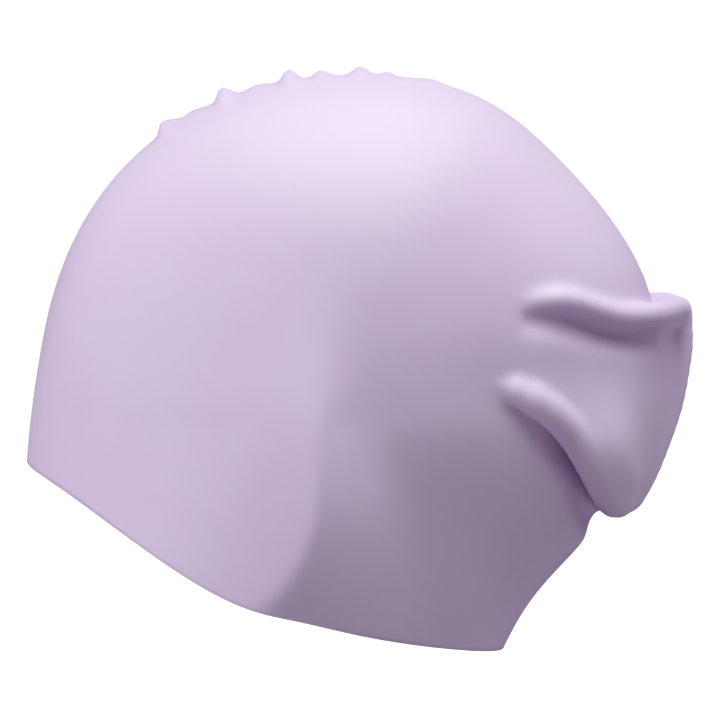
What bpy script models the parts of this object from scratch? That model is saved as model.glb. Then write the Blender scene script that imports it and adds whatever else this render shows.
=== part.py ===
"""Long-hair swim cap, moulded in one piece of silicone and shown as a head fills it.

The shell has a smooth crown with low ribs across its top, a tent over each ear, and a hair
pouch at the back that has fallen in between its folds. It is open at the rim. Metres, +Z up,
face towards -X, mirror plane at y = 0, origin inside the top of the crown.
"""

import math
from collections import namedtuple

import bmesh
import bpy
import numpy as np

# Crown, measured from its centre at the widest level
CROWN_LENGTH = 0.200
CROWN_WIDTH = 0.152
CROWN_RISE = 0.084
CROWN_DROP = 0.100
CROWN_ROUNDNESS = 2.3
FOREHEAD_NARROWING = 0.0038
WALL = 0.0012

# Ear tents, and the skin that goes in to the neck behind them
EAR_LIFT = 0.0105
EAR_CENTRE_AHEAD = 0.042
EAR_CENTRE_BELOW = 0.0442
EAR_BACK_REACH = 0.0335
EAR_LOBE_REACH = 0.0395
EAR_TOP_REACH = 0.070
EAR_TIP_AHEAD = 0.012
EAR_TIP_BELOW = 0.0252
EAR_FADE = 0.040
LOBE_FLARE = 0.0043
TENT_AHEAD = 0.078
TENT_BEHIND = 0.030
TENT_ABOVE = 0.046
TENT_RIDGE_SOFTNESS = 0.0014
TENT_FOOT_SOFTNESS = 0.005
NECK_HOLLOW = 0.0147
NECK_DROP = 0.070
NECK_START = 0.020
NECK_AHEAD = 0.050
NECK_BEHIND = 0.005

# Ribs across the top
RIB_HEIGHT = 0.0035
RIB_WIDTH = 0.0034
RIB_REACH = 0.027

# Hair pouch: its root is where the folds leave the crown, its top is the shoulder fold's start
POUCH_ROOT = 0.048
POUCH_TOP = 0.0148
POUCH_LENGTH = 0.0612
POUCH_WIDTH = 0.126
POUCH_HEIGHT = 0.071
FOLD_RADIUS = 0.005
WEB_SOFTNESS = 0.006
SKIN_SOFTNESS = 0.009

# Mesh of the half cap
COLUMNS = 32
ROWS = 45
BEND_SPACING = 0.008

# The rays that carry the mesh out to the skin start here, turned back from upright by the tilt
RAY_BACK = 0.043
RAY_BELOW = 0.0232
POLE_TILT = math.radians(38)
SHORTEST_RAY = 0.015
LONGEST_RAY = 0.200

LILAC = (0.577, 0.462, 0.672, 1.0)
SILICONE_ROUGHNESS = 0.45

CROWN_CENTRE_Z = WALL - CROWN_RISE
HALF_LENGTH = CROWN_LENGTH / 2
HALF_WIDTH = CROWN_WIDTH / 2

# Side outline of the crown at every 20 degrees from the back, over the top to the face and on
# below: its radius as a share of an ellipse on the crown's half length, rise and drop
OUTLINE = (
    1.016, 0.978, 0.972, 1.016, 1.016, 1.006, 1.005, 0.994, 0.985,
    1.016, 1.142, 1.430, 1.880, 1.920, 1.520, 1.120, 1.045, 1.008,
)

# Rim seen from the side, from the forehead to the nape: shares of half the length and of the drop
RimPoint = namedtuple("RimPoint", "along down")
RIM = (
    RimPoint(-1.080, 0.429),
    RimPoint(-0.985, 0.465),
    RimPoint(-0.840, 0.542),
    RimPoint(-0.613, 0.683),
    RimPoint(-0.425, 0.790),
    RimPoint(-0.355, 0.821),
    RimPoint(-0.160, 0.879),
    RimPoint(0.000, 0.920),
    RimPoint(0.270, 0.992),
    RimPoint(0.515, 1.047),
)

# Ribs from front to back: place as a share of half the crown's length, height and the widths
# before and behind the crest as shares
Rib = namedtuple("Rib", "along high before behind")
RIBS = (
    Rib(-0.606, 0.89, 0.81, 1.48),
    Rib(-0.520, 0.29, 1.11, 1.48),
    Rib(-0.414, 1.11, 0.89, 1.11),
    Rib(-0.305, 0.34, 1.48, 1.85),
    Rib(-0.198, 1.11, 1.04, 1.04),
    Rib(-0.097, 0.63, 1.04, 1.33),
    Rib(0.035, 0.80, 1.19, 1.19),
    Rib(0.123, 0.37, 0.89, 0.89),
    Rib(0.267, 0.23, 1.48, 1.48),
)

# Centre lines of the pouch's rolled folds and of the creases between them, as shares of the
# pouch's length behind its root, of half its width and of its height below its top
FoldPoint = namedtuple("FoldPoint", "along out down thick")
Fold = namedtuple("Fold", "softness points")
FOLDS = {
    "shoulder": Fold(1.5, (
        FoldPoint(0.00, 0.99, 0.00, 0.40),
        FoldPoint(0.16, 0.95, 0.02, 0.76),
        FoldPoint(0.38, 0.86, 0.04, 0.88),
        FoldPoint(0.56, 0.74, 0.09, 0.88),
        FoldPoint(0.73, 0.56, 0.11, 0.88),
        FoldPoint(0.87, 0.33, 0.12, 0.88),
        FoldPoint(0.96, 0.13, 0.14, 1.00),
        FoldPoint(0.98, 0.00, 0.15, 1.00),
    )),
    "spine": Fold(1.0, (
        FoldPoint(0.98, 0.00, 0.15, 1.00),
        FoldPoint(1.00, 0.00, 0.27, 1.00),
        FoldPoint(0.98, 0.00, 0.41, 1.00),
        FoldPoint(0.92, 0.00, 0.59, 1.04),
        FoldPoint(0.84, 0.00, 0.76, 1.04),
        FoldPoint(0.77, 0.00, 0.90, 1.08),
        FoldPoint(0.69, 0.00, 0.99, 1.20),
    )),
    "sling": Fold(1.5, (
        FoldPoint(-0.02, 1.03, 0.38, 0.50),
        FoldPoint(0.09, 1.03, 0.43, 0.86),
        FoldPoint(0.22, 0.99, 0.51, 1.00),
        FoldPoint(0.36, 0.90, 0.64, 1.04),
        FoldPoint(0.47, 0.78, 0.78, 1.04),
        FoldPoint(0.57, 0.59, 0.91, 1.10),
        FoldPoint(0.66, 0.35, 0.98, 1.20),
        FoldPoint(0.68, 0.00, 1.00, 1.24),
    )),
}
CREASES = {
    "under the sling": Fold(1.8, (
        FoldPoint(0.10, 1.11, 0.56, 0.10),
        FoldPoint(0.21, 1.05, 0.64, 0.60),
        FoldPoint(0.32, 0.94, 0.75, 0.88),
        FoldPoint(0.43, 0.78, 0.89, 1.00),
        FoldPoint(0.53, 0.53, 1.04, 0.92),
        FoldPoint(0.59, 0.22, 1.12, 0.84),
        FoldPoint(0.60, 0.00, 1.13, 0.80),
    )),
    "under the shoulder": Fold(2.4, (
        FoldPoint(0.13, 1.10, 0.16, 0.10),
        FoldPoint(0.33, 1.03, 0.18, 0.70),
        FoldPoint(0.52, 0.91, 0.23, 0.90),
        FoldPoint(0.69, 0.73, 0.29, 0.90),
        FoldPoint(0.80, 0.53, 0.38, 0.80),
    )),
}

# Flat faces of the web that the folds stand on: a point on each face and the way it looks,
# in the same shares. The web is what lies behind all of them
WebFace = namedtuple("WebFace", "along out down back_look out_look down_look")
WEB = (
    WebFace(0.64, 0.62, 0.54, 1.00, 0.54, -0.03),
    WebFace(0.64, 0.62, 0.62, 1.00, 0.52, 0.59),
    WebFace(0.64, 0.62, 0.54, 0.52, 1.00, 0.06),
    WebFace(0.77, 0.00, 0.20, -0.10, 0.00, -1.00),
    WebFace(0.59, 0.32, 0.99, -1.00, 0.13, 0.87),
    WebFace(0.69, 0.00, 1.03, 0.00, 0.00, 1.00),
)


def clear_scene():
    """Removes every object that the file opened with."""
    for item in list(bpy.data.objects):
        bpy.data.objects.remove(item, do_unlink=True)


def spline(stations, values, places):
    """Reads a natural cubic spline, which passes through the values at the stations."""
    stations, values = np.asarray(stations, float), np.asarray(values, float)
    if values.ndim == 1:
        return spline(stations, values[:, None], places)[..., 0]
    count, gaps = len(stations), np.diff(stations)
    slopes = np.diff(values, axis=0) / gaps[:, None]
    system, pull = np.eye(count), np.zeros_like(values)
    for i in range(1, count - 1):
        system[i, i - 1 : i + 2] = gaps[i - 1], 2 * (gaps[i - 1] + gaps[i]), gaps[i]
        pull[i] = 6 * (slopes[i] - slopes[i - 1])
    bends = np.linalg.solve(system, pull)
    piece = np.clip(np.searchsorted(stations, places) - 1, 0, count - 2)
    step, gap = (places - stations[piece])[..., None], gaps[piece][..., None]
    first, last = bends[piece], bends[piece + 1]
    start_slope = slopes[piece] - gap * (2 * first + last) / 6
    return values[piece] + step * (start_slope + step * (first / 2 + step * (last - first) / (6 * gap)))


def joined(first, second, softness):
    """Distance to the union of two shapes, with the corner between them filleted."""
    overlap = np.maximum(softness - np.abs(first - second), 0) / softness
    return np.minimum(first, second) - overlap**2 * softness / 4


def shared(first, second, softness):
    """Distance to what lies in both shapes, with the corner rounded."""
    return -joined(-first, -second, softness)


def eased(start, end, values):
    """Rises smoothly from 0 at the start to 1 at the end."""
    share = np.clip((values - start) / (end - start), 0, 1)
    return share**2 * (3 - 2 * share)


def outline_share(angles):
    """The crown outline's share at each angle in degrees, on a closed spline."""
    count = len(OUTLINE)
    beyond = 4
    turns = range(-beyond, count + beyond)
    stations = [turn * 360 / count for turn in turns]
    return spline(stations, [OUTLINE[turn % count] for turn in turns], angles)


def ear_lift(points):
    """How far the ear holds the skin off the crown; behind it, the skin goes in to the neck."""
    ahead_of_centre = -EAR_CENTRE_AHEAD - points[:, 0]
    above_centre = points[:, 2] - (CROWN_CENTRE_Z - EAR_CENTRE_BELOW)
    above_tip = points[:, 2] - (CROWN_CENTRE_Z - EAR_TIP_BELOW)
    ahead_of_tip = -EAR_TIP_AHEAD - points[:, 0]
    below_tip = np.maximum(-above_tip, 0)
    tall = np.where(above_centre > 0, EAR_TOP_REACH, EAR_LOBE_REACH)
    ring = np.hypot(np.maximum(-ahead_of_centre, 0) / EAR_BACK_REACH, above_centre / tall)
    past_edge = (ring - 1) * EAR_BACK_REACH
    crest = EAR_LIFT + LOBE_FLARE * below_tip / EAR_LOBE_REACH
    front = crest - EAR_LIFT * ahead_of_tip / TENT_AHEAD
    back = crest - EAR_LIFT * past_edge / TENT_BEHIND
    top = EAR_LIFT * (1 - above_tip / TENT_ABOVE)
    softness = TENT_RIDGE_SOFTNESS + 0.16 * np.maximum(above_tip, 0) + 0.05 * np.maximum(ahead_of_tip, 0)
    tent = joined(joined(front, back, softness), top, 1.6 * softness)
    behind = eased(-NECK_AHEAD, -NECK_BEHIND, points[:, 0])
    neck = NECK_HOLLOW * below_tip**2 / ((below_tip + NECK_START) * NECK_DROP) * behind
    return shared(tent, -neck, TENT_FOOT_SOFTNESS)


def outside_crown(points):
    """How far each point lies outside the crown, along its ray from the crown's centre."""
    offset = points - (0, 0, CROWN_CENTRE_Z)
    along, up = offset[:, 0], offset[:, 2]
    in_plane = np.hypot(along, up)
    angle = np.arctan2(up, along)
    height = np.where(up > 0, CROWN_RISE, CROWN_DROP)
    ellipse = 1 / np.hypot(np.cos(angle) / HALF_LENGTH, np.sin(angle) / height)
    reach = ellipse * outline_share(np.degrees(angle) % 360)
    half_width = HALF_WIDTH + FOREHEAD_NARROWING * along / HALF_LENGTH
    side = np.abs(offset[:, 1])
    out = np.maximum(side - ear_lift(points) * eased(0.0, EAR_FADE, side), 0)
    size = (in_plane / reach) ** CROWN_ROUNDNESS + (out / half_width) ** CROWN_ROUNDNESS
    size = np.maximum(size ** (1 / CROWN_ROUNDNESS), 1e-6)
    return np.linalg.norm(offset, axis=1) * (1 - 1 / size)


def pouch_place(along, out, down):
    """The place of a point given in the pouch's shares."""
    x = POUCH_ROOT + along * POUCH_LENGTH
    z = CROWN_CENTRE_Z + POUCH_TOP - down * POUCH_HEIGHT
    return np.stack([x, out * POUCH_WIDTH / 2, z], axis=-1)


def outside_fold(points, fold, pieces=12):
    """Distance to a fold: a round roll of changing thickness along its centre line."""
    rows = np.array(fold.points)
    line = np.column_stack([pouch_place(*rows[:, :3].T), rows[:, 3] * FOLD_RADIUS])
    stations = np.concatenate([[0], np.cumsum(np.linalg.norm(np.diff(line[:, :3], axis=0), axis=1))])
    line = spline(stations, line, np.linspace(0, stations[-1], pieces + 1))
    nearest = None
    for start, end in zip(line[:-1], line[1:]):
        run = end[:3] - start[:3]
        share = np.clip((points - start[:3]) @ run / (run @ run), 0, 1)
        from_axis = np.linalg.norm(points - start[:3] - share[:, None] * run, axis=1)
        distance = from_axis - (start[3] + share * (end[3] - start[3]))
        nearest = distance if nearest is None else joined(nearest, distance, 0.1 * FOLD_RADIUS)
    return nearest


def outside_web(points):
    """Distance to the web between the folds, which lies behind all its faces."""
    span = np.array([POUCH_LENGTH, POUCH_WIDTH / 2, -POUCH_HEIGHT])
    web = None
    for face in WEB:
        look = np.array(face[3:]) / span
        distance = (points - pouch_place(*face[:3])) @ look / np.linalg.norm(look)
        web = distance if web is None else shared(web, distance, WEB_SOFTNESS)
    return web


def outside_cap(points):
    """Distance to the whole cap without its ribs: the crown with the pouch's web, creases and folds."""
    distance = outside_crown(points)
    behind = points[:, 0] > POUCH_ROOT - 4 * FOLD_RADIUS
    near_side = points[behind] * (1, 0, 1) + np.abs(points[behind]) * (0, 1, 0)
    skin = joined(distance[behind], outside_web(near_side), SKIN_SOFTNESS)
    for crease in CREASES.values():
        skin = shared(skin, -outside_fold(near_side, crease), crease.softness * FOLD_RADIUS)
    for fold in FOLDS.values():
        skin = joined(skin, outside_fold(near_side, fold), fold.softness * FOLD_RADIUS)
    distance[behind] = skin
    return distance


def skin_points(directions):
    """Where rays in these directions leave the cap, found by halving the stretch they leave it in."""
    start = np.array([RAY_BACK, 0, CROWN_CENTRE_Z - RAY_BELOW])
    inner = np.full(len(directions), SHORTEST_RAY)
    outer = np.full(len(directions), LONGEST_RAY)
    for _ in range(24):
        middle = (inner + outer) / 2
        inside = outside_cap(start + middle[:, None] * directions) <= 0
        inner, outer = np.where(inside, middle, inner), np.where(inside, outer, middle)
    return start + ((inner + outer) / 2)[:, None] * directions


def ray_directions(polar, azimuth):
    """Unit rays at polar angles from the tilted pole; azimuth runs from the face round to the back."""
    pole = np.array([math.sin(POLE_TILT), 0, math.cos(POLE_TILT)])
    front = np.array([-math.cos(POLE_TILT), 0, math.sin(POLE_TILT)])
    side = np.array([0, -1, 0])
    polar, azimuth = polar[:, None], azimuth[:, None]
    return np.cos(polar) * pole + np.sin(polar) * (np.cos(azimuth) * front + np.sin(azimuth) * side)


def rim_height(x):
    """Height of the rim at each x, carried on straight past its two ends."""
    stations = np.array([point.along for point in RIM]) * HALF_LENGTH
    heights = CROWN_CENTRE_Z - np.array([point.down for point in RIM]) * CROWN_DROP
    slopes = np.diff(heights) / np.diff(stations)
    before, after = np.minimum(x - stations[0], 0), np.maximum(x - stations[-1], 0)
    kept = np.clip(x, stations[0], stations[-1])
    return spline(stations, heights, kept) + slopes[0] * before + slopes[-1] * after


def rim_angles(azimuths):
    """The polar angle at which each column of the mesh comes down to the rim."""
    upper, lower = np.full(len(azimuths), 0.5 * math.pi), np.full(len(azimuths), 0.95 * math.pi)
    for _ in range(24):
        middle = (upper + lower) / 2
        points = skin_points(ray_directions(middle, azimuths))
        above = points[:, 2] > rim_height(points[:, 0])
        upper, lower = np.where(above, middle, upper), np.where(above, lower, middle)
    return (upper + lower) / 2


def rib_lift(points):
    """How high the ribs stand on the top of the crown."""
    lift = np.zeros(len(points))
    for rib in RIBS:
        across = points[:, 0] - rib.along * HALF_LENGTH
        wide = np.where(across < 0, rib.before, rib.behind) * RIB_WIDTH
        lift += rib.high * RIB_HEIGHT * np.exp(-((across / wide) ** 2))
    fade = 1 - eased(0.25 * RIB_REACH, RIB_REACH, np.abs(points[:, 1]))
    return lift * fade * (points[:, 2] > CROWN_CENTRE_Z + CROWN_RISE / 2)


def column_angles(azimuths):
    """Polar angles of the rows down each column, closer together where the skin bends."""
    polar = np.linspace(0, rim_angles(azimuths), 3 * ROWS, axis=1)
    points = skin_points(ray_directions(polar.ravel(), np.repeat(azimuths, polar.shape[1])))
    points[:, 2] += rib_lift(points)
    runs = np.diff(points.reshape(*polar.shape, 3), axis=1)
    lengths = np.linalg.norm(runs, axis=2)
    turns = np.linalg.norm(np.diff(runs / lengths[:, :, None], axis=1), axis=2)
    weights = lengths.copy()
    weights[:, 1:] += BEND_SPACING * turns / 2
    weights[:, :-1] += BEND_SPACING * turns / 2
    passed = np.insert(np.cumsum(weights, axis=1), 0, 0, axis=1)
    shares = np.linspace(0, 1, ROWS + 1)
    return np.array([np.interp(shares * way[-1], way, angles) for way, angles in zip(passed, polar)])


def half_skin():
    """The near half of the outer skin, as a grid whose first row closes on the pole."""
    grid = bmesh.new()
    bmesh.ops.create_grid(grid, x_segments=COLUMNS, y_segments=ROWS, size=0.5)
    column = np.array([round((vertex.co.x + 0.5) * COLUMNS) for vertex in grid.verts])
    row = np.array([round((vertex.co.y + 0.5) * ROWS) for vertex in grid.verts])
    azimuths = np.linspace(0, math.pi, COLUMNS + 1)
    polar = column_angles(azimuths)[column, row]
    for vertex, point in zip(grid.verts, skin_points(ray_directions(polar, azimuths[column]))):
        vertex.co = point
    on_plane = [vertex for vertex in grid.verts if abs(vertex.co.y) < 1e-7]
    for vertex in on_plane:
        vertex.co.y = 0
    bmesh.ops.remove_doubles(grid, verts=grid.verts, dist=1e-6)
    bmesh.ops.recalc_face_normals(grid, faces=grid.faces)
    widest = min(grid.faces, key=lambda face: face.calc_center_median().y)
    if widest.normal.y > 0:
        bmesh.ops.reverse_faces(grid, faces=grid.faces)
    mesh = bpy.data.meshes.new("cap_half_skin")
    grid.to_mesh(mesh)
    grid.free()
    return mesh


def with_walls(half):
    """Mirrors the half skin and gives it its wall, inwards, as a plain mesh."""
    blank = bpy.data.objects.new("cap_blank", half)
    bpy.context.scene.collection.objects.link(blank)
    mirror = blank.modifiers.new("both sides", "MIRROR")
    mirror.use_axis = (False, True, False)
    mirror.merge_threshold = 1e-5
    wall = blank.modifiers.new("wall", "SOLIDIFY")
    wall.thickness = WALL
    wall.offset = -1
    evaluated = blank.evaluated_get(bpy.context.evaluated_depsgraph_get())
    mesh = bpy.data.meshes.new_from_object(evaluated)
    bpy.data.objects.remove(blank)
    return mesh


def raise_ribs(mesh):
    """Lifts the outer skin along its normals where the ribs cross the top, and leaves the inner one smooth."""
    points = np.array([vertex.co for vertex in mesh.vertices])
    outer = np.abs(outside_cap(points)) < WALL / 4
    for vertex, lift in zip(mesh.vertices, np.where(outer, rib_lift(points), 0)):
        vertex.co += vertex.normal * float(lift)


def silicone():
    """Matte lilac silicone."""
    material = bpy.data.materials.new("lilac_silicone")
    material.use_nodes = True
    shader = material.node_tree.nodes["Principled BSDF"]
    shader.inputs["Base Color"].default_value = LILAC
    shader.inputs["Roughness"].default_value = SILICONE_ROUGHNESS
    shader.inputs["Metallic"].default_value = 0.0
    return material


def build():
    """Makes the cap in its own collection."""
    clear_scene()
    collection = bpy.data.collections.new("swim_cap")
    bpy.context.scene.collection.children.link(collection)
    mesh = with_walls(half_skin())
    mesh.name = "cap_shell"
    raise_ribs(mesh)
    mesh.materials.append(silicone())
    mesh.shade_smooth()
    collection.objects.link(bpy.data.objects.new("cap_shell", mesh))


build()
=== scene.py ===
"""Visual model of a long-hair swim cap in matte lilac silicone, in the shape that a head gives it.

The cap is one moulded shell. Its form is the surface of a solid made of the crown, the two ear tents
and the hair pouch. Rays from a point inside carry a mesh out to that surface, the wall goes inwards,
and a geometry node tree raises the ribs across the top. Metres, +Z up, face towards -X, mirror plane
at y = 0, origin inside the top of the crown.
"""

from __future__ import annotations

import logging
import math
from dataclasses import dataclass, field
from enum import Enum

import bmesh
import bpy
import numpy as np
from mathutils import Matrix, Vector

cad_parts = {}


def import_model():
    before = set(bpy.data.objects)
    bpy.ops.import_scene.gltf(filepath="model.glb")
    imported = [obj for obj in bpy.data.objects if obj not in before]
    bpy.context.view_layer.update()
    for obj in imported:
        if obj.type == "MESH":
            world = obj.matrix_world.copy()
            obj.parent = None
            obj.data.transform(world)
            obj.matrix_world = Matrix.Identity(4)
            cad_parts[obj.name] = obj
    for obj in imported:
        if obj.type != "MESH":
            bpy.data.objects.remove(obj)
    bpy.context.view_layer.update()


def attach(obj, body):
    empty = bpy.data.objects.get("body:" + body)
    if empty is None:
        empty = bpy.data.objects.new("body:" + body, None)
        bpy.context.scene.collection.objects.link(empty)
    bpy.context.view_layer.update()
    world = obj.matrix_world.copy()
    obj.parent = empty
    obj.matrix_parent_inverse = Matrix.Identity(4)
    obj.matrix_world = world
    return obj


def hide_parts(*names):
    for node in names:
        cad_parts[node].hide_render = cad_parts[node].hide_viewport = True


LOG = logging.getLogger("swim_cap")

Array = np.ndarray
Point = tuple[float, float, float]
Colour = tuple[float, float, float, float]


def spline(stations: Array, values: Array, places: Array) -> Array:
    """Reads a natural cubic spline, which passes through the values at the stations.

    Args:
        stations: Rising places along the spline.
        values: One value or one row of values for each station.
        places: Where to read it.

    Returns:
        The values at the places.
    """
    stations, values = np.asarray(stations, float), np.asarray(values, float)
    if values.ndim == 1:
        return spline(stations, values[:, None], places)[..., 0]
    count, gaps = len(stations), np.diff(stations)
    slopes = np.diff(values, axis=0) / gaps[:, None]
    system, pull = np.eye(count), np.zeros_like(values)
    for i in range(1, count - 1):
        system[i, i - 1 : i + 2] = gaps[i - 1], 2 * (gaps[i - 1] + gaps[i]), gaps[i]
        pull[i] = 6 * (slopes[i] - slopes[i - 1])
    bends = np.linalg.solve(system, pull)
    piece = np.clip(np.searchsorted(stations, places) - 1, 0, count - 2)
    step, gap = (places - stations[piece])[..., None], gaps[piece][..., None]
    first, last = bends[piece], bends[piece + 1]
    start_slope = slopes[piece] - gap * (2 * first + last) / 6
    return values[piece] + step * (start_slope + step * (first / 2 + step * (last - first) / (6 * gap)))


def joined(first: Array, second: Array, softness: Array | float) -> Array:
    """Distance to the union of two shapes, with the corner between them filleted."""
    overlap = np.maximum(softness - np.abs(first - second), 0) / softness
    return np.minimum(first, second) - overlap**2 * softness / 4


def shared(first: Array, second: Array, softness: Array | float) -> Array:
    """Distance to what lies in both shapes, with the corner rounded."""
    return -joined(-first, -second, softness)


def eased(start: float, end: float, values: Array) -> Array:
    """Rises smoothly from 0 at the start to 1 at the end."""
    share = np.clip((values - start) / (end - start), 0, 1)
    return share**2 * (3 - 2 * share)


@dataclass(frozen=True)
class EarTents:
    """The skin that each ear holds off the head: three slopes that fall from the ear's back edge.

    The front slope flares out below the ear's tip, and behind the ear the skin goes in to the neck.
    """

    lift: float = 0.0105
    flare: float = 0.11
    neck_slope: float = 0.21
    neck_start: float = 0.020
    neck_top_z: float = -0.108
    neck_front: float = -0.050
    neck_back: float = -0.005
    centre_ahead: float = 0.042
    centre_z: float = -0.127
    back_reach: float = 0.0335
    lobe_reach: float = 0.0395
    top_reach: float = 0.070
    tip_ahead: float = 0.012
    tip_z: float = -0.108
    run_ahead: float = 0.078
    slope_behind: float = 0.65
    run_above: float = 0.046
    ridge_softness: float = 0.0016
    spread_above: float = 0.16
    spread_ahead: float = 0.05
    top_spread: float = 1.6
    foot_softness: float = 0.005
    fade: float = 0.04

    def height(self, points: Array) -> Array:
        """How far the ear holds the skin off the crown.

        Args:
            points: Places in the cap's frame, one a row.

        Returns:
            The lift at each place, below zero where the skin goes in to the neck.
        """
        ahead_of_centre = -self.centre_ahead - points[:, 0]
        above_centre = points[:, 2] - self.centre_z
        above_tip = points[:, 2] - self.tip_z
        ahead_of_tip = -self.tip_ahead - points[:, 0]
        tall = np.where(above_centre > 0, self.top_reach, self.lobe_reach)
        ring = np.hypot(np.maximum(-ahead_of_centre, 0) / self.back_reach, above_centre / tall)
        past_edge = (ring - 1) * self.back_reach
        crest = self.lift + self.flare * np.maximum(-above_tip, 0)
        front = crest - self.lift * ahead_of_tip / self.run_ahead
        back = crest - self.slope_behind * past_edge
        top = self.lift * (1 - above_tip / self.run_above)
        softness = self.ridge_softness + self.spread_above * np.maximum(above_tip, 0)
        softness = softness + self.spread_ahead * np.maximum(ahead_of_tip, 0)
        tent = joined(joined(front, back, softness), top, self.top_spread * softness)
        low = np.maximum(self.neck_top_z - points[:, 2], 0)
        behind = eased(self.neck_front, self.neck_back, points[:, 0])
        neck = self.neck_slope * low**2 / (low + self.neck_start) * behind
        return shared(tent, -neck, self.foot_softness)


@dataclass(frozen=True)
class Crown:
    """The dome over the head, with an outline from the side and a rounded section across it."""

    length: float = 0.200
    width: float = 0.152
    rise: float = 0.084
    drop: float = 0.100
    roundness: float = 2.3
    forehead_taper: float = 0.05
    centre_z: float = -0.0828
    ears: EarTents = EarTents()
    # Radius of the side outline at every 20 degrees from the back, over the top to the face and on
    # below, as a share of an ellipse on the half length, rise and drop
    outline: tuple[float, ...] = (
        1.016, 0.978, 0.972, 1.016, 1.016, 1.006, 1.005, 0.994, 0.985,
        1.016, 1.142, 1.430, 1.880, 1.920, 1.520, 1.120, 1.045, 1.008,
    )  # fmt: skip

    def outline_share(self, angles: Array) -> Array:
        """The side outline's share at each angle in degrees, on a closed spline."""
        count, beyond = len(self.outline), 4
        turns = range(-beyond, count + beyond)
        stations = [turn * 360 / count for turn in turns]
        return spline(stations, [self.outline[turn % count] for turn in turns], angles)

    def outside(self, points: Array) -> Array:
        """How far each point lies outside the crown, along its ray from the crown's centre."""
        offset = points - (0, 0, self.centre_z)
        along, up = offset[:, 0], offset[:, 2]
        in_plane, angle = np.hypot(along, up), np.arctan2(up, along)
        height = np.where(up > 0, self.rise, self.drop)
        ellipse = 1 / np.hypot(2 * np.cos(angle) / self.length, np.sin(angle) / height)
        reach = ellipse * self.outline_share(np.degrees(angle) % 360)
        half_width = self.width / 2 * (1 + self.forehead_taper * 2 * along / self.length)
        side = np.abs(offset[:, 1])
        out = np.maximum(side - self.ears.height(points) * eased(0.0, self.ears.fade, side), 0)
        size = (in_plane / reach) ** self.roundness + (out / half_width) ** self.roundness
        size = np.maximum(size ** (1 / self.roundness), 1e-6)
        return np.linalg.norm(offset, axis=1) * (1 - 1 / size)


@dataclass(frozen=True)
class FoldPoint:
    """A point on a fold's centre line: out is its distance from the mirror plane."""

    x: float
    out: float
    z: float
    radius: float


@dataclass(frozen=True)
class Fold:
    """A round roll of changing thickness along a smooth centre line, on both sides of the cap."""

    softness: float
    points: tuple[FoldPoint, ...]
    pieces: int = 16
    own_softness: float = 0.0005

    def outside(self, points: Array) -> Array:
        """Distance to the roll from points whose side is given as a distance out."""
        line = np.array([(point.x, point.out, point.z, point.radius) for point in self.points])
        steps = np.linalg.norm(np.diff(line[:, :3], axis=0), axis=1)
        stations = np.concatenate([[0], np.cumsum(steps)])
        line = spline(stations, line, np.linspace(0, stations[-1], self.pieces + 1))
        nearest = None
        for start, end in zip(line[:-1], line[1:]):
            run = end[:3] - start[:3]
            share = np.clip((points - start[:3]) @ run / (run @ run), 0, 1)
            from_axis = np.linalg.norm(points - start[:3] - share[:, None] * run, axis=1)
            distance = from_axis - (start[3] + share * (end[3] - start[3]))
            nearest = distance if nearest is None else joined(nearest, distance, self.own_softness)
        return nearest


@dataclass(frozen=True)
class WebSection:
    """A level cut through the pouch's web: its cheek runs to a soft break, its rear on to the spine."""

    z: float
    break_x: float
    break_out: float
    spine_x: float
    cheek_turn: float


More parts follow.
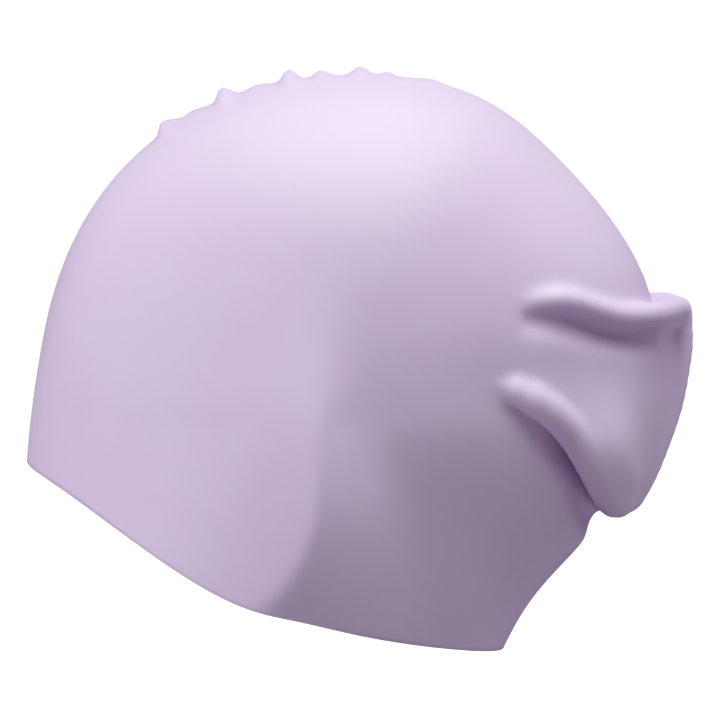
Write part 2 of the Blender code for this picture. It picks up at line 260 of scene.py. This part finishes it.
@dataclass(frozen=True)
class HairPouch:
    """The bag for long hair, fallen in between a shoulder fold, a spine and a sling fold."""

    start_x: float = 0.030
    root_x: float = 0.057
    web_softness: float = 0.008
    skin_softness: float = 0.007
    top_z: float = -0.0775
    top_fall: float = 0.12
    floor_z: float = -0.143
    floor_x: float = 0.0785
    hung_points: int = 5
    sections: tuple[WebSection, ...] = (
        WebSection(-0.070, 0.0800, 0.0460, 0.1080, 36),
        WebSection(-0.080, 0.0810, 0.0475, 0.1095, 38),
        WebSection(-0.090, 0.0828, 0.0495, 0.1100, 34),
        WebSection(-0.100, 0.0860, 0.0522, 0.1090, 30),
        WebSection(-0.110, 0.0882, 0.0545, 0.1070, 28),
        WebSection(-0.122, 0.0900, 0.0530, 0.1035, 28),
        WebSection(-0.133, 0.0913, 0.0420, 0.1000, 32),
        WebSection(-0.145, 0.0890, 0.0220, 0.0930, 34),
    )
    folds: tuple[Fold, ...] = (
        # shoulder
        Fold(0.0045, (
            FoldPoint(0.0560, 0.0650, -0.0700, 0.0008),
            FoldPoint(0.0640, 0.0635, -0.0692, 0.0026),
            FoldPoint(0.0695, 0.0612, -0.0694, 0.0033),
            FoldPoint(0.0760, 0.0570, -0.0717, 0.0035),
            FoldPoint(0.0805, 0.0533, -0.0735, 0.0035),
            FoldPoint(0.0850, 0.0490, -0.0749, 0.0035),
            FoldPoint(0.0912, 0.0422, -0.0757, 0.0035),
            FoldPoint(0.0965, 0.0355, -0.0757, 0.0036),
            FoldPoint(0.1015, 0.0285, -0.0755, 0.0037),
            FoldPoint(0.1065, 0.0165, -0.0752, 0.0039),
            FoldPoint(0.1088, 0.0000, -0.0765, 0.0042),
        )),
        # spine
        Fold(0.0035, (
            FoldPoint(0.1088, 0.0000, -0.0765, 0.0042),
            FoldPoint(0.1103, 0.0000, -0.0860, 0.0040),
            FoldPoint(0.1094, 0.0000, -0.0945, 0.0040),
            FoldPoint(0.1078, 0.0000, -0.1030, 0.0042),
            FoldPoint(0.1055, 0.0000, -0.1110, 0.0045),
            FoldPoint(0.1020, 0.0000, -0.1195, 0.0050),
            FoldPoint(0.0980, 0.0000, -0.1280, 0.0055),
            FoldPoint(0.0925, 0.0000, -0.1370, 0.0062),
        )),
        # sling
        Fold(0.0030, (
            FoldPoint(0.0470, 0.0685, -0.0955, 0.0012),
            FoldPoint(0.0535, 0.0688, -0.0978, 0.0038),
            FoldPoint(0.0605, 0.0675, -0.1018, 0.0048),
            FoldPoint(0.0664, 0.0642, -0.1068, 0.0050),
            FoldPoint(0.0716, 0.0598, -0.1130, 0.0049),
            FoldPoint(0.0766, 0.0540, -0.1212, 0.0048),
            FoldPoint(0.0812, 0.0455, -0.1298, 0.0048),
            FoldPoint(0.0854, 0.0320, -0.1362, 0.0052),
            FoldPoint(0.0885, 0.0150, -0.1378, 0.0058),
            FoldPoint(0.0892, 0.0000, -0.1378, 0.0060),
        )),
    )
    creases: tuple[Fold, ...] = (
        # under the sling
        Fold(0.0080, (
            FoldPoint(0.0530, 0.0705, -0.1045, 0.0004),
            FoldPoint(0.0605, 0.0680, -0.1095, 0.0026),
            FoldPoint(0.0675, 0.0608, -0.1162, 0.0036),
            FoldPoint(0.0733, 0.0532, -0.1232, 0.0042),
            FoldPoint(0.0772, 0.0442, -0.1315, 0.0042),
            FoldPoint(0.0808, 0.0290, -0.1405, 0.0038),
            FoldPoint(0.0840, 0.0130, -0.1460, 0.0034),
            FoldPoint(0.0855, 0.0000, -0.1475, 0.0032),
        )),
        # under the shoulder
        Fold(0.0060, (
            FoldPoint(0.0585, 0.0680, -0.0755, 0.0004),
            FoldPoint(0.0650, 0.0657, -0.0758, 0.0019),
            FoldPoint(0.0715, 0.0621, -0.0771, 0.0027),
            FoldPoint(0.0775, 0.0577, -0.0787, 0.0031),
            FoldPoint(0.0830, 0.0524, -0.0804, 0.0031),
            FoldPoint(0.0890, 0.0451, -0.0816, 0.0029),
            FoldPoint(0.0960, 0.0356, -0.0824, 0.0025),
            FoldPoint(0.1030, 0.0240, -0.0832, 0.0020),
        )),
    )

    def outside_web(self, points: Array) -> Array:
        """Distance to the web between the folds.

        A pair of slanted faces bounds it at each level, and it hangs no lower than the sling fold.
        """
        rows = [(cut.break_x, cut.break_out, cut.spine_x, cut.cheek_turn) for cut in self.sections]
        levels = -np.array([cut.z for cut in self.sections])
        down = np.clip(-points[:, 2], levels[0], levels[-1])
        break_x, break_out, spine_x, turn = spline(levels, rows, down).T
        back, out = points[:, 0] - break_x, points[:, 1] - break_out
        turn = np.radians(turn)
        cheek = back * np.sin(turn) + out * np.cos(turn)
        rear_back, rear_out = break_out, spine_x - break_x
        rear = (back * rear_back + out * rear_out) / np.hypot(rear_back, rear_out)
        side = shared(cheek, rear, self.web_softness)
        side = shared(side, self.root_x - points[:, 0], self.web_softness)
        top = points[:, 2] - self.top_z - self.top_fall * (points[:, 0] - spine_x)
        sling = self.folds[-1].points[:self.hung_points]
        hung_x = [point.x for point in sling] + [self.floor_x]
        hung_z = [point.z for point in sling] + [self.floor_z]
        floor = np.interp(points[:, 0], hung_x, hung_z) - points[:, 2]
        return shared(side, shared(top, floor, self.web_softness / 2), self.web_softness / 2)

    def added_to(self, crown: Array, points: Array, soften: float) -> Array:
        """Joins the pouch to the crown's distance field.

        Args:
            crown: The crown's distance at each point.
            points: The same points.
            soften: How many times softer than their own the corners of folds and creases are.

        Returns:
            The distance to crown and pouch together.
        """
        distance = crown.copy()
        behind = points[:, 0] > self.start_x
        near_side = points[behind] * (1, 0, 1) + np.abs(points[behind]) * (0, 1, 0)
        skin = joined(distance[behind], self.outside_web(near_side), self.skin_softness)
        for crease in self.creases:
            skin = shared(skin, -crease.outside(near_side), soften * crease.softness)
        for fold in self.folds:
            skin = joined(skin, fold.outside(near_side), soften * fold.softness)
        distance[behind] = skin
        return distance


@dataclass(frozen=True)
class RimPoint:
    """A point on the rim seen from the side."""

    x: float
    z: float


@dataclass(frozen=True)
class Rim:
    """The cut edge of the cap, from the forehead down round the ears to the nape."""

    points: tuple[RimPoint, ...] = (
        RimPoint(-0.1080, -0.1257),
        RimPoint(-0.0985, -0.1293),
        RimPoint(-0.0840, -0.1370),
        RimPoint(-0.0613, -0.1511),
        RimPoint(-0.0425, -0.1618),
        RimPoint(-0.0355, -0.1649),
        RimPoint(-0.0160, -0.1707),
        RimPoint(0.0000, -0.1757),
        RimPoint(0.0270, -0.1834),
        RimPoint(0.0515, -0.1886),
    )

    def height(self, x: Array) -> Array:
        """Height of the rim at each x, carried on straight past its two ends."""
        stations = np.array([point.x for point in self.points])
        heights = np.array([point.z for point in self.points])
        slopes = np.diff(heights) / np.diff(stations)
        before, after = np.minimum(x - stations[0], 0), np.maximum(x - stations[-1], 0)
        kept = np.clip(x, stations[0], stations[-1])
        return spline(stations, heights, kept) + slopes[0] * before + slopes[-1] * after


@dataclass(frozen=True)
class SkinGrid:
    """The half grid that rays carry out to the cap's skin, from a pole tilted back off the crown."""

    crown: Crown
    pouch: HairPouch
    rim: Rim
    columns: int
    rows: int
    start: Point = (0.043, 0.0, -0.100)
    pole_tilt: float = math.radians(38)
    shortest: float = 0.015
    longest: float = 0.200
    bend_spacing: float = 0.008
    halvings: int = 24
    reach_softness: float = 2.2
    least_angle: float = 0.5 * math.pi
    most_angle: float = 0.95 * math.pi
    settling: int = 8
    settling_share: float = 0.7
    least_steep: float = 0.25
    evening: int = 4
    evening_steps: int = 8
    probe: float = 0.0001

    def outside(self, points: Array, soften: float = 1.0) -> Array:
        """Distance to the whole cap without its ribs, with the pouch's corners softened by a factor."""
        return self.pouch.added_to(self.crown.outside(points), points, soften)

    def settled(self, points: Array) -> Array:
        """Carries points from the softened skin onto the true one, along the distance's slope."""
        for _ in range(self.settling):
            away = self.outside(points)
            probes = [self.probe * axis for axis in np.eye(3)]
            rises = [self.outside(points + probe) - self.outside(points - probe) for probe in probes]
            slope = np.stack(rises, axis=1) / (2 * self.probe)
            slope[points[:, 1] == 0, 1] = 0
            steep = np.maximum((slope**2).sum(axis=1), self.least_steep)
            points = points - self.settling_share * (away / steep)[:, None] * slope
        return points

    def evened(self, lattice: Array) -> Array:
        """Spaces the grid's inner points more evenly, and carries them back onto the skin each time."""
        inner = lattice[1:-1, 1:-1]
        for _ in range(self.evening):
            for _ in range(self.evening_steps):
                around = lattice[:-2, 1:-1] + lattice[2:, 1:-1] + lattice[1:-1, :-2] + lattice[1:-1, 2:]
                inner[:] = inner / 2 + around / 8
            inner[:] = self.settled(inner.reshape(-1, 3)).reshape(inner.shape)
        return lattice

    def skin(self, directions: Array) -> Array:
        """Where rays in these directions leave the cap, found by halving the stretch they leave it in."""
        start = np.array(self.start)
        inner = np.full(len(directions), self.shortest)
        outer = np.full(len(directions), self.longest)
        for _ in range(self.halvings):
            middle = (inner + outer) / 2
            inside = self.outside(start + middle[:, None] * directions, self.reach_softness) <= 0
            inner, outer = np.where(inside, middle, inner), np.where(inside, outer, middle)
        return start + ((inner + outer) / 2)[:, None] * directions

    def directions(self, polar: Array, azimuth: Array) -> Array:
        """Unit rays at polar angles from the tilted pole; azimuth runs from the face round to the back."""
        pole = np.array([math.sin(self.pole_tilt), 0, math.cos(self.pole_tilt)])
        front = np.array([-math.cos(self.pole_tilt), 0, math.sin(self.pole_tilt)])
        side = np.array([0, -1, 0])
        polar, azimuth = polar[:, None], azimuth[:, None]
        return np.cos(polar) * pole + np.sin(polar) * (np.cos(azimuth) * front + np.sin(azimuth) * side)

    def rim_angles(self, azimuths: Array) -> Array:
        """The polar angle at which each column comes down to the rim."""
        upper = np.full(len(azimuths), self.least_angle)
        lower = np.full(len(azimuths), self.most_angle)
        for _ in range(self.halvings):
            middle = (upper + lower) / 2
            points = self.skin(self.directions(middle, azimuths))
            above = points[:, 2] > self.rim.height(points[:, 0])
            upper, lower = np.where(above, middle, upper), np.where(above, lower, middle)
        return (upper + lower) / 2

    def passed(self, points: Array) -> Array:
        """Way covered along each row of points, with every bend counted as extra way."""
        runs = np.diff(points, axis=1)
        lengths = np.linalg.norm(runs, axis=2)
        turns = np.linalg.norm(np.diff(runs / np.maximum(lengths, 1e-9)[:, :, None], axis=1), axis=2)
        weights = lengths.copy()
        weights[:, 1:] += self.bend_spacing * turns / 2
        weights[:, :-1] += self.bend_spacing * turns / 2
        return np.insert(np.cumsum(weights, axis=1), 0, 0, axis=1)

    def azimuths(self) -> Array:
        """Azimuths of the columns, closer together where the skin bends across them."""
        even = np.linspace(0, math.pi, 2 * self.columns + 1)
        shares = np.linspace(0.15, 1, 40)
        polar = self.rim_angles(even)[:, None] * shares
        points = self.skin(self.directions(polar.ravel(), np.repeat(even, len(shares))))
        across = points.reshape(*polar.shape, 3).transpose(1, 0, 2)
        way = self.passed(across).mean(axis=0)
        way = way / way[-1] + np.linspace(0, 1, len(even))
        return np.interp(np.linspace(0, way[-1], self.columns + 1), way, even)

    def column_angles(self, azimuths: Array) -> Array:
        """Polar angles of the rows down each column, closer together where the skin bends."""
        polar = np.linspace(0, self.rim_angles(azimuths), 3 * self.rows, axis=1)
        points = self.skin(self.directions(polar.ravel(), np.repeat(azimuths, polar.shape[1])))
        passed = self.passed(points.reshape(*polar.shape, 3))
        shares = np.linspace(0, 1, self.rows + 1)
        return np.array([np.interp(shares * way[-1], way, angles) for way, angles in zip(passed, polar)])

    def half_skin(self) -> bpy.types.Mesh:
        """Builds the near half of the outer skin, whose first row closes on the pole.

        Returns:
            A mesh that is open at the mirror plane and at the rim, with its faces outwards.
        """
        azimuths = self.azimuths()
        grid = bmesh.new()
        bmesh.ops.create_grid(grid, x_segments=self.columns, y_segments=self.rows, size=0.5)
        column = np.array([round((vertex.co.x + 0.5) * self.columns) for vertex in grid.verts])
        row = np.array([round((vertex.co.y + 0.5) * self.rows) for vertex in grid.verts])
        polar = self.column_angles(azimuths)[column, row]
        places = self.skin(self.directions(polar, azimuths[column]))
        places[np.abs(places[:, 1]) < 1e-7, 1] = 0
        lattice = np.empty((self.columns + 1, self.rows + 1, 3))
        lattice[column, row] = self.settled(places)
        places = self.evened(lattice)[column, row]
        for vertex, place in zip(grid.verts, places):
            vertex.co = place
        bmesh.ops.remove_doubles(grid, verts=grid.verts, dist=1e-6)
        bmesh.ops.recalc_face_normals(grid, faces=grid.faces)
        widest = min(grid.faces, key=lambda face: face.calc_center_median().y)
        if widest.normal.y > 0:
            bmesh.ops.reverse_faces(grid, faces=grid.faces)
        mesh = bpy.data.meshes.new("half_skin")
        grid.to_mesh(mesh)
        grid.free()
        return mesh


class Value:
    """A node's output that Python operators work on, by adding Math nodes to its tree."""

    def __init__(self, board: NodeBoard, socket: bpy.types.NodeSocket) -> None:
        self.board = board
        self.socket = socket

    def math(self, operation: str, *others: Value | float) -> Value:
        """Adds a Math node that takes this value first."""
        links = {index: link for index, link in enumerate((self, *others))}
        return self.board.add("ShaderNodeMath", {"operation": operation}, links)

    def __add__(self, other: Value | float) -> Value:
        """Adds."""
        return self.math("ADD", other)

    def __sub__(self, other: Value | float) -> Value:
        """Subtracts."""
        return self.math("SUBTRACT", other)

    def __mul__(self, other: Value | float) -> Value:
        """Multiplies."""
        return self.math("MULTIPLY", other)

    def __truediv__(self, other: Value | float) -> Value:
        """Divides."""
        return self.math("DIVIDE", other)

    def __rsub__(self, other: float) -> Value:
        """Subtracts this value from a number."""
        return (self * -1.0) + other

    def __neg__(self) -> Value:
        """Changes the sign."""
        return self * -1.0

    __radd__ = __add__
    __rmul__ = __mul__


class NodeBoard:
    """Adds nodes to one tree, of a material or of a modifier."""

    def __init__(self, tree: bpy.types.NodeTree) -> None:
        self.tree = tree

    def add(
        self,
        kind: str,
        settings: dict[str, object] | None = None,
        links: dict[str | int, object] | None = None,
        output: str | int = 0,
    ) -> Value:
        """Adds one node.

        Args:
            kind: The node's type name.
            settings: Its settings, set first.
            links: A value or another node's output for each input socket.
            output: The output socket that is handed back.

        Returns:
            The chosen output.
        """
        node = self.tree.nodes.new(kind)
        for name, setting in (settings or {}).items():
            setattr(node, name, setting)
        for name, link in (links or {}).items():
            if isinstance(link, Value):
                self.tree.links.new(link.socket, node.inputs[name])
            else:
                node.inputs[name].default_value = link
        return Value(self, node.outputs[output])


@dataclass(frozen=True)
class Rib:
    """One rib: its place from front to back, its height and how wide it is before and behind its crest."""

    x: float
    high: float
    front: float
    back: float


@dataclass(frozen=True)
class CrownRibs:
    """Low ribs across the top of the crown, raised on the outer skin by a geometry node tree."""

    reach: float = 0.027
    flat_part: float = 0.25
    lowest: float = -0.041
    ribs: tuple[Rib, ...] = (
        Rib(-0.0606, 0.0031, 0.0022, 0.0040),
        Rib(-0.0520, 0.0010, 0.0030, 0.0040),
        Rib(-0.0414, 0.0039, 0.0024, 0.0030),
        Rib(-0.0305, 0.0012, 0.0040, 0.0050),
        Rib(-0.0198, 0.0039, 0.0028, 0.0028),
        Rib(-0.0097, 0.0022, 0.0028, 0.0036),
        Rib(0.0035, 0.0028, 0.0032, 0.0032),
        Rib(0.0123, 0.0013, 0.0024, 0.0024),
        Rib(0.0267, 0.0008, 0.0040, 0.0040),
    )

    def tree(self) -> tuple[bpy.types.NodeTree, dict[str, str]]:
        """Builds the tree that lifts the outer skin along its normals.

        Returns:
            The tree, and the identifier of each of its named inputs.
        """
        tree = bpy.data.node_groups.new("crown_ribs", "GeometryNodeTree")
        sockets = {"Skin": "NodeSocketGeometry", "Silicone": "NodeSocketMaterial"}
        sockets["Reach"] = "NodeSocketFloat"
        for number in range(1, len(self.ribs) + 1):
            for size in ("Place", "Height", "Front", "Back"):
                sockets[f"{size} {number}"] = "NodeSocketFloat"
        names = {}
        for name, kind in sockets.items():
            names[name] = tree.interface.new_socket(name=name, in_out="INPUT", socket_type=kind).identifier
        tree.interface.new_socket(name="Cap", in_out="OUTPUT", socket_type="NodeSocketGeometry")
        board = NodeBoard(tree)
        entry = tree.nodes.new("NodeGroupInput")
        given = {name: Value(board, entry.outputs[name]) for name in sockets}
        place = board.add("GeometryNodeInputPosition")
        x, y, z = (board.add("ShaderNodeSeparateXYZ", None, {0: place}, output=axis) for axis in range(3))
        lift = None
        for number in range(1, len(self.ribs) + 1):
            across = x - given[f"Place {number}"]
            before = across.math("MINIMUM", 0.0) / given[f"Front {number}"]
            behind = across.math("MAXIMUM", 0.0) / given[f"Back {number}"]
            bump = (-(before * before + behind * behind)).math("EXPONENT") * given[f"Height {number}"]
            lift = bump if lift is None else lift + bump
        side = y.math("ABSOLUTE") / given["Reach"]
        fade = board.add(
            "ShaderNodeMapRange",
            {"interpolation_type": "SMOOTHSTEP"},
            {"Value": side, "From Min": self.flat_part, "From Max": 1.0, "To Min": 1.0, "To Max": 0.0},
        )
        high_up = z.math("GREATER_THAN", self.lowest)
        inner_name = {"Name": CapShell.INNER}
        inner = board.add("GeometryNodeInputNamedAttribute", {"data_type": "FLOAT"}, inner_name)
        lift = lift * fade * high_up * (1.0 - inner)
        normal = board.add("GeometryNodeInputNormal")
        offset = board.add("ShaderNodeVectorMath", {"operation": "SCALE"}, {0: normal, "Scale": lift})
        raised = board.add("GeometryNodeSetPosition", None, {"Geometry": given["Skin"], "Offset": offset})
        real = board.add("GeometryNodeRealizeInstances", None, {"Geometry": raised})
        dress = {"Geometry": real, "Material": given["Silicone"]}
        dressed = board.add("GeometryNodeSetMaterial", None, dress)
        leave = tree.nodes.new("NodeGroupOutput")
        tree.links.new(dressed.socket, leave.inputs["Cap"])
        return tree, names

    def raise_on(self, piece: bpy.types.Object, silicone: bpy.types.Material) -> None:
        """Puts the tree on a piece as its last modifier, with the sizes as the tree's inputs."""
        tree, names = self.tree()
        modifier = piece.modifiers.new("crown ribs", "NODES")
        modifier.node_group = tree
        modifier[names["Silicone"]] = silicone
        modifier[names["Reach"]] = self.reach
        for number, rib in enumerate(self.ribs, start=1):
            modifier[names[f"Place {number}"]] = rib.x
            modifier[names[f"Height {number}"]] = rib.high
            modifier[names[f"Front {number}"]] = rib.front
            modifier[names[f"Back {number}"]] = rib.back


@dataclass(frozen=True)
class LilacSilicone:
    """Matte moulded silicone: a soft bloom on top of a slightly see-through body, with painted shade that
    darkens the colour in the pouch's creases.
    """

    body: Colour = (0.540, 0.390, 0.675, 1.0)
    bloom: Colour = (0.610, 0.505, 0.725, 1.0)
    # Painted shade: a darker, deeper violet mixed in where the pouch's creases lie
    painted_crease_shade: Colour = (0.400, 0.250, 0.480, 1.0)
    roughness: float = 0.46
    mottle_per_metre: float = 14.0
    grain_per_metre: float = 1400.0
    grain_depth: float = 0.00003
    grain_strength: float = 0.35
    mottle_roughness: float = 0.08
    grain_roughness: float = 0.04
    glow: float = 0.15
    glow_reach: Point = (0.008, 0.005, 0.008)
    glow_scale: float = 0.5

    def material(self) -> bpy.types.Material:
        """Builds the material on object coordinates and the cap's own attribute of painted crease shade.
        """
        material = bpy.data.materials.new("lilac_silicone")
        material.use_nodes = True
        tree = material.node_tree
        shader = tree.nodes["Principled BSDF"]
        board = NodeBoard(tree)
        place = board.add("ShaderNodeTexCoord", output="Object")
        mottle = board.add(
            "ShaderNodeTexNoise", None, {"Vector": place, "Scale": self.mottle_per_metre, "Detail": 3.0}
        )
        grain = board.add(
            "ShaderNodeTexNoise", None, {"Vector": place, "Scale": self.grain_per_metre, "Detail": 2.0}
        )
        tint = board.add(
            "ShaderNodeMix", {"data_type": "RGBA"}, {0: mottle, 6: self.body, 7: self.bloom}, output=2
        )
        # Painted shade: the crease attribute mixes the darker violet into the colour
        crease_shade = board.add("ShaderNodeAttribute", {"attribute_name": CapShell.CREASE_SHADE}, output="Fac")
        colour = board.add(
            "ShaderNodeMix", {"data_type": "RGBA"}, {0: crease_shade, 6: tint, 7: self.painted_crease_shade}, output=2
        )
        roughness = self.roughness + self.mottle_roughness * (mottle - 0.5)
        roughness = roughness + self.grain_roughness * (grain - 0.5)
        bump_links = {"Strength": self.grain_strength, "Distance": self.grain_depth, "Height": grain}
        bump = board.add("ShaderNodeBump", None, bump_links)
        tree.links.new(colour.socket, shader.inputs["Base Color"])
        tree.links.new(roughness.socket, shader.inputs["Roughness"])
        tree.links.new(bump.socket, shader.inputs["Normal"])
        shader.inputs["Subsurface Weight"].default_value = self.glow
        shader.inputs["Subsurface Radius"].default_value = self.glow_reach
        shader.inputs["Subsurface Scale"].default_value = self.glow_scale
        return material


class Detail(Enum):
    """Columns and rows of the half skin."""

    QUICK = (72, 110)
    FULL = (120, 184)


@dataclass
class CapShell:
    """The whole cap: one silicone shell with its wall, ribs and finish."""

    INNER = "inner_skin"
    # Name of the attribute that holds the painted shade in the creases
    CREASE_SHADE = "painted_crease_shade"

    wall: float = 0.0012
    # How far out from the creases the painted shade reaches, and how strong it is at most
    crease_shade_reach: float = 0.006
    crease_shade_share: float = 0.6
    crown: Crown = field(default_factory=Crown)
    pouch: HairPouch = field(default_factory=HairPouch)
    rim: Rim = field(default_factory=Rim)
    ribs: CrownRibs = field(default_factory=CrownRibs)
    finish: LilacSilicone = field(default_factory=LilacSilicone)
    detail: Detail = Detail.FULL

    def build(self) -> bpy.types.Object:
        """Builds the shell as a plain mesh object at the origin."""
        grid = SkinGrid(self.crown, self.pouch, self.rim, *self.detail.value)
        half = grid.half_skin()
        LOG.info("half skin: %d faces", len(half.polygons))
        blank = bpy.data.objects.new("cap_blank", half)
        bpy.context.scene.collection.objects.link(blank)
        inner = blank.vertex_groups.new(name=self.INNER)
        mirror = blank.modifiers.new("both sides", "MIRROR")
        mirror.use_axis = (False, True, False)
        mirror.merge_threshold = 1e-5
        wall = blank.modifiers.new("wall", "SOLIDIFY")
        wall.thickness = self.wall
        wall.offset = -1
        wall.shell_vertex_group = inner.name
        self.ribs.raise_on(blank, self.finish.material())
        evaluated = blank.evaluated_get(bpy.context.evaluated_depsgraph_get())
        mesh = bpy.data.meshes.new_from_object(evaluated)
        bpy.data.objects.remove(blank)
        mesh.name = "silicone_cap"
        mesh.shade_smooth()
        self.paint_crease_shade(mesh)
        piece = bpy.data.objects.new("silicone_cap", mesh)
        bpy.context.scene.collection.objects.link(piece)
        return piece

    def paint_crease_shade(self, mesh: bpy.types.Mesh) -> None:
        """Writes the painted shade at each vertex, by how deep it lies in a crease, from 0 on open skin up
        to the shade share.
        """
        points = np.array([vertex.co for vertex in mesh.vertices])
        near_side = points * (1, 0, 1) + np.abs(points) * (0, 1, 0)
        # Painted shade: darkest on the creases, fading out over the reach
        crease_shade = np.zeros(len(points))
        for crease in self.pouch.creases:
            crease_shade = np.maximum(crease_shade, 1 - eased(0.0, self.crease_shade_reach, crease.outside(near_side)))
        attribute = mesh.attributes.new(self.CREASE_SHADE, "FLOAT", "POINT")
        attribute.data.foreach_set("value", (self.crease_shade_share * crease_shade).astype(np.float32))


@dataclass(frozen=True)
class Softbox:
    """A round studio light."""

    name: str
    place: Point
    size: float
    watts: float
    mirrored: bool


@dataclass(frozen=True)
class Studio:
    """White sweep, soft lights and the camera."""

    target: Point = (0.00333, 0.0, -0.09283)
    elevation: float = math.radians(4)
    distance: float = 1.5
    frame_width: float = 0.240
    sensor: float = 36.0
    floor_z: float = -0.30
    ambient: float = 0.05
    softboxes: tuple[Softbox, ...] = (
        Softbox("overhead_softbox", (0.0, -0.65, 1.02), 1.2, 12.0, True),
        Softbox("top_softbox", (0.06, 0.0, 1.21), 1.2, 10.5, True),
        Softbox("front_softbox", (-1.16, -0.38, -0.40), 1.0, 9.0, False),
        Softbox("back_top_softbox", (0.97, -0.13, 0.75), 1.2, 2.5, True),
        Softbox("back_low_softbox", (0.85, -0.10, -0.95), 1.0, 3.0, False),
        Softbox("rim_softbox", (0.71, 1.13, 0.33), 1.2, 4.0, False),
    )
    # How bright what the camera sees is shown: the middle is lifted and highlights are held back
    tone: tuple[tuple[float, float], ...] = ((0.1, 0.182), (0.25, 0.4), (0.5, 0.667), (0.75, 0.857))
    sweep_reach: float = 6.0
    sweep_bend: float = 1.5
    sweep_steps: int = 12
    sweep_white: Colour = (0.9, 0.9, 0.9, 1)

    def build(self) -> None:
        """Sets up the whole studio."""
        self.add_world()
        self.add_sweep()
        for softbox in self.softboxes:
            self.add_softbox(softbox)
        self.add_camera()
        self.set_tone()

    def set_tone(self) -> None:
        """Plain colours with soft highlights."""
        view = bpy.context.scene.view_settings
        view.view_transform = "Standard"
        view.use_curve_mapping = True
        for place, value in self.tone:
            view.curve_mapping.curves[3].points.new(place, value)
        view.curve_mapping.update()

    def add_world(self) -> None:
        """Even white light from all around, which the cap doesn't mirror."""
        world = bpy.data.worlds.new("studio_air")
        world.use_nodes = True
        background = world.node_tree.nodes["Background"]
        background.inputs["Color"].default_value = (1, 1, 1, 1)
        background.inputs["Strength"].default_value = self.ambient
        bpy.context.scene.world = world
        world.cycles_visibility.glossy = False

    def add_sweep(self) -> None:
        """A plain white floor that turns up into a wall behind, seen by the camera alone."""
        reach, bend = self.sweep_reach, self.sweep_bend
        profile = [(-reach, 0.0), (reach - bend, 0.0)]
        for step in range(1, self.sweep_steps + 1):
            turn = math.radians(90) * step / self.sweep_steps
            profile.append((reach - bend + bend * math.sin(turn), bend * (1 - math.cos(turn))))
        profile.append((reach, 2 * reach))
        grid = bmesh.new()
        sides = (-reach, reach)
        rows = [[grid.verts.new((x, y, self.floor_z + z)) for x in sides] for y, z in profile]
        for first, second in zip(rows[:-1], rows[1:]):
            grid.faces.new((first[0], first[1], second[1], second[0]))
        mesh = bpy.data.meshes.new("studio_sweep")
        grid.to_mesh(mesh)
        grid.free()
        mesh.shade_smooth()
        sweep = bpy.data.objects.new("studio_sweep", mesh)
        bpy.context.scene.collection.objects.link(sweep)
        material = bpy.data.materials.new("sweep_white")
        material.use_nodes = True
        shader = material.node_tree.nodes["Principled BSDF"]
        shader.inputs["Base Color"].default_value = self.sweep_white
        shader.inputs["Roughness"].default_value = 0.9
        shader.inputs["Emission Color"].default_value = (1, 1, 1, 1)
        shader.inputs["Emission Strength"].default_value = 1.0
        mesh.materials.append(material)
        sweep.visible_diffuse = False
        sweep.visible_glossy = False
        sweep.visible_shadow = False
        sweep.visible_transmission = False

    def add_softbox(self, softbox: Softbox) -> None:
        """One round area light turned to the cap."""
        light = bpy.data.lights.new(softbox.name, "AREA")
        light.shape = "DISK"
        light.size = softbox.size
        light.energy = softbox.watts
        lamp = bpy.data.objects.new(softbox.name, light)
        lamp.visible_glossy = softbox.mirrored
        lamp.location = softbox.place
        look = Vector(self.target) - Vector(softbox.place)
        lamp.rotation_euler = look.to_track_quat("-Z", "Y").to_euler()
        bpy.context.scene.collection.objects.link(lamp)

    def add_camera(self) -> None:
        """The camera looks along +Y and a little down."""
        camera = bpy.data.cameras.new("camera")
        camera.sensor_width = self.sensor
        camera.lens = self.sensor * self.distance / self.frame_width
        looker = bpy.data.objects.new("camera", camera)
        look = Vector((0, math.cos(self.elevation), -math.sin(self.elevation)))
        looker.location = Vector(self.target) - self.distance * look
        looker.rotation_euler = look.to_track_quat("-Z", "Y").to_euler()
        bpy.context.scene.collection.objects.link(looker)
        bpy.context.scene.camera = looker


def main() -> None:
    """Builds the cap on its frame, then the studio round it."""
    logging.basicConfig(level=logging.INFO, format="%(name)s: %(message)s")
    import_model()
    shell = CapShell(detail=Detail.FULL)
    piece = shell.build()
    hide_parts("cap_shell")
    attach(piece, "root")
    LOG.info("%s: %d faces", piece.name, len(piece.data.polygons))
    Studio().build()
    LOG.info("studio set up")


if __name__ == "__main__":
    main()
